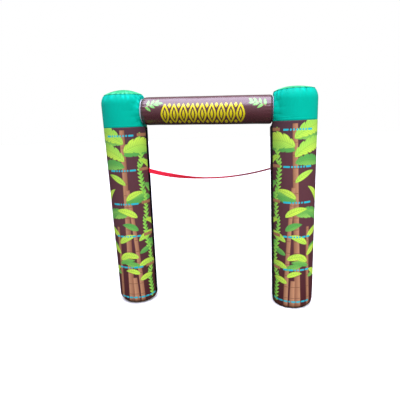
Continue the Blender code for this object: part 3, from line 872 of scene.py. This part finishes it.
def barFields(along, arc):
    # a row of outlined lozenges, a small solid one above and below between each pair,
    # and a branch of leaves in turn left and right near each end
    first, last = crossbar["friezeEnds"]
    big, small, level = crossbar["lozenge"], crossbar["smallLozenge"], crossbar["middle"]
    middles = np.linspace(first, last, crossbar["lozenges"])
    frieze = [lozengeMotif(along, arc, (m, level), **big) for m in middles]
    for m in (middles[1:] + middles[:-1]) / 2:
        for v in (level + crossbar["smallOff"], level - crossbar["smallOff"]):
            frieze.append(lozengeMotif(along, arc, (m, v), **small))
    sprigs, stalks = [], []
    curl, size = crossbar["curl"], (crossbar["stalkLength"], crossbar["stalkWidth"])
    for middle, way in crossbar["branches"]:
        heading, root = math.pi / 2 - way * 1.15, (middle - way * 0.055, 0.030)
        stalks.append(caneMotif(along, arc, root, heading, *size, curl * way, ringPitch=0.05))
        for step in range(crossbar["leaves"]):
            share = step / (crossbar["leaves"] - 1)
            root = (middle + way * (-0.05 + 0.105 * share), 0.034 + 0.045 * share - 0.012 * share**2)
            lean = (1 if step % 2 else -1) * (0.95 - 0.5 * share)
            leaf = (crossbar["leafLength"] - 0.012 * share, crossbar["leafWidth"])
            tint = 0.3 + 0.4 * (step % 2)
            sprigs.append(bladeMotif(along, arc, root, heading + lean, *leaf, curl * lean, tint))
    return {"stalks": stack(stalks), "sprigs": stack(sprigs), "frieze": stack(frieze)}


def barPoint(along, rho, turn):
    # along the slanting axis, then out at turn round it, measured from the front upwards
    along, rho, turn = (each[..., None] for each in np.broadcast_arrays(along, rho, turn))
    axis = np.array([math.cos(bar["tilt"]), 0, -math.sin(bar["tilt"])])
    up = np.array([math.sin(bar["tilt"]), 0, math.cos(bar["tilt"])])
    out = np.sin(turn) * up - np.cos(turn) * np.array([0, 1, 0])
    return np.array([0, 0, bar["height"]]) + along * axis + rho * out


def barHalf():
    # from the middle to an end along the slanting axis, short of the cap by the gap
    return (post["span"] - bar["endOffset"]) / math.cos(bar["tilt"]) - post["gap"]


def byEnd(along, values):
    # the right end's value on the right half and the left one's on the left
    return np.where(along > 0, values["right"], values["left"])


def makeCrossbar(material):
    # a tube whose shoulders swell from its ends' radius to its full one by a quarter of an ellipse, with
    # slack along its middle. Puckers start past the welt, rise to a peak and fade; the two ends differ
    half, ends = barHalf(), crossbar["ends"]
    spread = np.linspace(0, 1, crossbar["endRows"]) ** 1.25 * ends
    middle = np.linspace(half - ends, -(half - ends), crossbar["rows"] - 2 * crossbar["endRows"] + 2)[1:-1]
    turn = np.linspace(-np.pi, np.pi, crossbar["columns"] + 1)
    along = np.concatenate([half - spread, middle, spread[::-1] - half])
    along, turn = np.meshgrid(along, turn, indexing="ij")
    pastLand = half - np.abs(along) - byEnd(along, bar["land"])
    swollen = np.sqrt(1 - (1 - np.clip(pastLand / byEnd(along, bar["shoulder"]), 0, 1)) ** 2)
    rho = bar["endRadius"] + (bar["radius"] - bar["endRadius"]) * swollen
    gathers = {end: bulges(turn, crossbar["puckers"], seed) - 0.7 for end, seed in crossbar["seeds"].items()}
    past = np.clip(pastLand / crossbar["puckerPeak"], 0, None)
    pull = byEnd(along, crossbar["endPull"]) * past * np.exp(1 - past)
    rho += crossbar["gather"] * byEnd(along, gathers) * pull
    rho += crossbar["slack"] * billow(turn, 2.2 * along, 43) * smoothStep(0.05, 0.15, half - np.abs(along))
    # a flat disc closes each end
    ring, disc = np.linspace(0.05, 0.98, 5)[:, None] * bar["endRadius"], turn[:5]
    points = np.concatenate([
        barPoint(half, ring, disc), barPoint(along, rho, turn), barPoint(-half, ring[::-1], disc),
    ])
    along = np.concatenate([half + 0 * disc, along, 0 * disc - half])
    arc = np.concatenate([disc, turn, disc]) * bar["radius"]
    poles = [barPoint(end, 0.0, 0.0) for end in (half, -half)]
    # the back carries the front's print, mirrored over the top and the bottom
    quarter = bar["radius"] * np.pi / 2
    front = np.where(np.abs(arc) > quarter, np.sign(arc) * 2 * quarter - arc, arc)
    flat = np.stack([along, arc], -1)
    piece = skin("crossbarTube", points, poles=poles, uv=flat, fields=barFields(along, front))
    finishPiece(piece, "crossbar", material)


def printedBarCloth():
    # the same printed taffeta as the posts, its satin face catching the light from above
    material, tree, shader = newMaterial(
        "printedPolyesterTaffetaBar", IOR=1.5, Specular_IOR_Level=1.0, Coat_Weight=0.45, Coat_Roughness=0.18
    )
    crease, place = clothBump(tree, shader)
    colour = linear("5b3037")
    for name, ink in barInks.items():
        colour = printLayer(tree, colour, name, ink)
    clothFinish(tree, shader, colour, crease, place, 0.24, 0.05)
    return material


print("crossbar")
makeCrossbar(printedBarCloth())

welt = {
    "width": {"left": 0.007, "right": 0.0045}, "thickness": 0.003, "around": 240, "section": 20,
    "stitches": 92, "dip": 0.0004,
}


def makeWelt(side, material):
    # a flat-sided ring: its section is a circle with both coordinates to the power 0.6, nipped at each stitch
    sign, half = sides[side]["sign"], welt["width"][side] / 2
    turn = np.linspace(-np.pi, np.pi, welt["around"] + 1)
    turn, section = np.meshgrid(turn, np.linspace(0, 2 * np.pi, welt["section"] + 1), indexing="ij")
    c, s = np.cos(section), np.sin(section)
    rho = bar["endRadius"] + post["gap"] + welt["thickness"] / 2 * (1 + np.sign(c) * np.abs(c) ** 0.6)
    rho = rho - welt["dip"] * (c > 0) * np.abs(np.sin(turn * welt["stitches"] / 2)) ** 6
    along = sign * (barHalf() - half) + sign * half * np.sign(s) * np.abs(s) ** 0.6
    # the left one runs the other way round its section, so that its faces point outwards too
    points = barPoint(along, rho, turn)[:, ::sign]
    piece = skin(f"{side}Welt", points, ring=True)
    finishPiece(piece, f"{side}_bar_seam", material)


def weltTape():
    # folded polyester binding tape: pale lavender, finely ribbed across, dull
    material, tree, shader = newMaterial("polyesterBindingTape", Roughness=0.6, Specular_IOR_Level=0.3)
    place = addNode(tree, "TexCoord")["Object"]
    noise = addNode(tree, "TexNoise", {"Vector": place, "Scale": 60.0, "Detail": 3.0})[0]
    tree.links.new(layered(tree, linear("c6bedb"), ((noise, "f3efff"),)), shader.inputs["Base Color"])
    ribs = addNode(tree, "TexWave", {"Vector": place, "Scale": 320.0}, bands_direction="Z")[1]
    bump = addNode(tree, "Bump", {"Strength": 0.4, "Distance": 0.0002, "Height": ribs})[0]
    tree.links.new(bump, shader.inputs["Normal"])
    return material


print("welts")
tape = weltTape()
for side in sides:
    makeWelt(side, tape)

strip = {
    "width": 0.05, "thickness": 0.002, "foot": 0.06,
    "belowBar": 0.138,  # the bar's axis to its top
    "gap": 0.0005, "rows": 380, "columns": 12,
    # from its middle line: where the pile gives way to the woven edge, and the stitches
    "wovenEdge": (0.0195, 0.0205), "stitchLine": 0.0222, "stitchPitch": 0.0018,
}


def stripPoints(side, around, height, proud):
    # over the inner wall: around metres sideways, proud metres off the cloth
    sign, radius = sides[side]["sign"], wallRadius(height)
    angle = around / radius
    out = np.stack([-sign * np.cos(angle), np.sin(angle), 0 * angle], -1)
    axis = np.stack([axisX(side) + 0 * angle, 0 * angle, height], -1)
    return pressIn(axis + radius[..., None] * out, side, 0.0) + proud * out


def addThickness(piece, thickness):
    # half of it to each side of the surface
    solidify = piece.modifiers.new("thickness", "SOLIDIFY")
    solidify.thickness, solidify.offset = thickness, 0.0


def makeStrip(side, material):
    # a flat band up the wall, its middle half its thickness off the cloth
    highest = barAxisHeight(side) - strip["belowBar"]
    height, around = np.meshgrid(
        np.linspace(strip["foot"], highest, strip["rows"]),
        np.linspace(-0.5, 0.5, strip["columns"] + 1) * strip["width"], indexing="ij",
    )
    points = stripPoints(side, around, height, strip["gap"] + strip["thickness"] / 2)
    flat = np.stack([around, height], -1)
    # the left one's columns are turned round, so that its faces point outwards too
    way = sides[side]["sign"]
    piece = skin(f"{side}LoopStrip", points[:, ::way], uv=flat[:, ::way])
    addThickness(piece, strip["thickness"])
    finishPiece(piece, f"{side}_loop_strip", material)


def stitches(tree, away, line, half, run, pitch):
    # a row of stitches: where away is within half of the line, in dashes along run
    gap = addNode(tree, "Math", {0: run, 1: pitch}, operation="PINGPONG")[0]
    dash = addNode(tree, "MapRange", {0: gap, 1: 0.0005, 2: 0.0008})[0]
    off = addNode(tree, "Math", {0: away, 1: line}, operation="SUBTRACT")[0]
    off = addNode(tree, "Math", {0: off}, operation="ABSOLUTE")[0]
    row = addNode(tree, "MapRange", {0: off, 1: half, 2: half + 0.0003, 3: 1.0, 4: 0.0})[0]
    return addNode(tree, "Math", {0: row, 1: dash}, operation="MULTIPLY")[0]


def loopTape():
    # nylon loop tape: matt black pile of tiny loops, with a flat woven edge stitched down each side
    material, tree, shader = newMaterial("nylonLoopTape", Roughness=0.95, Specular_IOR_Level=0.05)
    parts = mapParts(tree)
    off = addNode(tree, "Math", {0: parts[0]}, operation="ABSOLUTE")[0]
    start, end = strip["wovenEdge"]
    edge = addNode(tree, "MapRange", {0: off, 1: start, 2: end})[0]
    place = addNode(tree, "TexCoord")["Object"]
    pile = addNode(tree, "TexVoronoi", {"Vector": place, "Scale": 520.0})[0]
    thread = stitches(tree, off, strip["stitchLine"], 0.0003, parts[1], strip["stitchPitch"])
    colour = layered(tree, linear("08070a"), ((pile, "1a161c"), (edge, "141117"), (thread, "332d35")))
    tree.links.new(colour, shader.inputs["Base Color"])
    flatPile = addNode(tree, "Math", {0: 1.0, 1: edge}, operation="SUBTRACT")[0]
    lift = addNode(tree, "Math", {0: pile, 1: flatPile, 2: thread}, operation="MULTIPLY_ADD")[0]
    bump = addNode(tree, "Bump", {"Strength": 0.8, "Distance": 0.0008, "Height": lift})[0]
    tree.links.new(bump, shader.inputs["Normal"])
    return material


print("loop strips")
blackTape = loopTape()
for side in sides:
    makeStrip(side, blackTape)

strap = {
    "width": 0.038, "thickness": 0.0018, "leftHeight": 1.249, "rightHeight": 1.237, "sag": 0.073,
    "tab": 0.034, "rightTab": 0.028,  # how much of each end lies on its strip
    "bend": 0.006,                    # the folds' radius
    "foldY": -0.017, "rightY": -0.006, "rightClear": 0.0002, "leftRun": 0.020,
    "twist": (0.04, 0.48), "lean": 1.06,  # it comes to lean by this angle between these shares of the span
    "columns": 8, "leftRows": 60, "spanRows": 260, "foldRows": 10, "tabRows": 16,
    "weave": (0.0012, 0.0016), "firmEdge": (0.0165, 0.0172), "stitchLine": 0.006, "stitchPitch": 0.002,
    "paintedStrapShade": (0.62, 0.76),  # a painted shade comes in between these shares of its length
}


def strapRadius(height):
    # the post's axis to the middle of a strap that lies on the strip
    return wallRadius(height) + strip["gap"] + strip["thickness"] + post["gap"] + strap["thickness"] / 2


def strapLeft(out, dip):
    # a tab round the left strip and an upright fold off it: past is the distance from the fold's start
    along = np.linspace(-strap["tab"], strap["leftRun"], strap["leftRows"])[:, None]
    past = along * math.cos(dip) + out * math.sin(dip)
    height = strap["leftHeight"] - along * math.sin(dip) + out * math.cos(dip)
    radius = strapRadius(height)
    angle = strap["foldY"] / strapRadius(strap["leftHeight"]) - np.minimum(past, 0) / radius
    turn = np.clip(past, 0, strap["bend"] * np.pi / 2) / strap["bend"]
    lifted = strap["bend"] * (1 - np.cos(turn)) + np.maximum(past - strap["bend"] * np.pi / 2, 0)
    x = -post["span"] + radius * np.cos(angle) + lifted
    return np.stack([x, radius * np.sin(angle) - strap["bend"] * np.sin(turn), height], -1)


def strapSpan(out, dip, first, right):
    # a parabola from the left fold to the right one, its upper edge coming to lean forward
    share = np.linspace(0, 1, strap["spanRows"] + 1)[1:, None]
    middle = first * (1 - share) + np.array([right, 0, strap["rightHeight"]]) * share
    middle[:, 1] = first[1] * (1 - share[:, 0]) ** 2 + strap["rightY"] * share[:, 0] ** 2
    middle[:, 2] -= (4 * strap["sag"] * share * (1 - share))[:, 0]
    slope = np.arctan(math.tan(dip) * (2 * share - 1))
    turned = strap["lean"] * smoothStep(*strap["twist"], share)
    width = [-np.sin(slope) * np.cos(turned), -np.sin(turned), np.cos(slope) * np.cos(turned)]
    width = np.concatenate(width, -1)
    return middle[:, None] + out[..., None] * width[:, None], width[-1]


def strapRight(out, dip, start, width):
    # a fold up to the right tab, which is stuck on aslant and cupped round the strip
    step = np.arange(1, strap["foldRows"] + strap["tabRows"] + 1)[:, None]
    cupped = np.minimum(step / strap["foldRows"], 1)
    turn = dip + (np.pi / 2 - dip) * cupped
    climb = strap["rightTab"] * np.maximum(step - strap["foldRows"], 0) / strap["tabRows"]
    rise = strap["bend"] * (math.cos(dip) - np.cos(turn)) + climb
    slant = (np.pi / 2 - strap["lean"]) * cupped
    x = strap["bend"] * (np.sin(turn) - math.sin(dip)) - post["taper"] * climb
    centre = start + np.concatenate([x, rise * np.sin(slant), rise * np.cos(slant)], -1)
    way = width * (1 - cupped) + np.array([0, -math.sin(strap["lean"]), math.cos(strap["lean"])]) * cupped
    way = way / np.linalg.norm(way, axis=-1, keepdims=True)
    points = centre[:, None] + out[..., None] * way[:, None]
    points[..., 0] += cupped * points[..., 1] ** 2 / (2 * strapRadius(strap["rightHeight"]))
    return points


def strapPoints():
    # rows along it, columns across it, lower edge first
    left = -post["span"] + strapRadius(strap["leftHeight"]) + strap["bend"]
    dip = math.atan(2 * strap["sag"] / -left)
    right = post["span"] - strapRadius(strap["rightHeight"]) - strap["rightClear"]
    right = right - strap["bend"] * (1 - math.sin(dip))
    out = strap["width"] * np.linspace(-0.5, 0.5, strap["columns"] + 1)[None, :]
    middle = strap["columns"] // 2
    leftPart = strapLeft(out, dip)
    span, width = strapSpan(out, dip, leftPart[-1, middle], right)
    return np.concatenate([leftPart, span, strapRight(out, dip, span[-1, middle], width)])


def makeStrap():
    # its map runs across its width, and along it by the length of its middle line
    points = strapPoints()
    middle = points[:, strap["columns"] // 2]
    run = np.concatenate([[0], np.cumsum(np.linalg.norm(np.diff(middle, axis=0), axis=1))])
    across = strap["width"] * np.linspace(-0.5, 0.5, strap["columns"] + 1)
    flat = np.stack(np.meshgrid(across, run, indexing="xy"), -1)
    piece = skin("passUnderStrap", points, uv=flat)
    addThickness(piece, strap["thickness"])
    length = float(run[-1])
    finishPiece(piece, "strap", redWebbing(length))


def redWebbing(length):
    # woven polyester webbing, dyed a bright red: close ribs across it, a firm edge, a row of stitches at
    # each tab. It is thin enough to let light through, and a faint red glow is painted light that keeps its
    # shaded side bright. Its last third is darker and duller under a painted shade
    material, tree, shader = newMaterial(
        "polyesterWebbing", Roughness=0.5, Specular_IOR_Level=0.3, Subsurface_Weight=0.85,
        Subsurface_Radius=(1.0, 0.35, 0.35), Subsurface_Scale=0.006, Sheen_Weight=0.25, Sheen_Roughness=0.5,
        # painted light: a faint red glow that keeps the shaded side bright
        Emission_Color=linear("ff2a4c"), Emission_Strength=0.17,
    )
    parts = mapParts(tree)
    waves = []
    for part, spacing in zip((parts[1], parts[0]), strap["weave"]):
        wave = addNode(tree, "Math", {0: part, 1: spacing}, operation="PINGPONG")[0]
        waves.append(addNode(tree, "MapRange", {0: wave, 1: 0.0, 2: spacing})[0])
    weave = addNode(tree, "Math", {0: waves[0], 1: waves[1]}, operation="MULTIPLY")[0]
    off = addNode(tree, "Math", {0: parts[0]}, operation="ABSOLUTE")[0]
    start, end = strap["firmEdge"]
    edge = addNode(tree, "MapRange", {0: off, 1: start, 2: end})[0]
    # painted shade over the strap's last third, where its leaning face looks down
    start, end = (share * length for share in strap["paintedStrapShade"])
    paintedStrapShade = addNode(tree, "MapRange", {0: parts[1], 1: start, 2: end, 3: 0.0, 4: 0.88})[0]
    fromEnd = addNode(tree, "Math", {0: parts[1], 1: length / 2}, operation="PINGPONG")[0]
    thread = stitches(tree, fromEnd, strap["stitchLine"], 0.0006, parts[0], strap["stitchPitch"])
    layers = (weave, "ff2c52"), (edge, "e41c40"), (paintedStrapShade, "564c50"), (thread, "8a1026")
    colour = layered(tree, linear("f4163c"), layers)
    tree.links.new(colour, shader.inputs["Base Color"])
    lift = addNode(tree, "Math", {0: weave, 1: thread}, operation="ADD")[0]
    bump = addNode(tree, "Bump", {"Strength": 0.6, "Distance": 0.0004, "Height": lift})[0]
    tree.links.new(bump, shader.inputs["Normal"])
    return material


print("strap")
makeStrap()
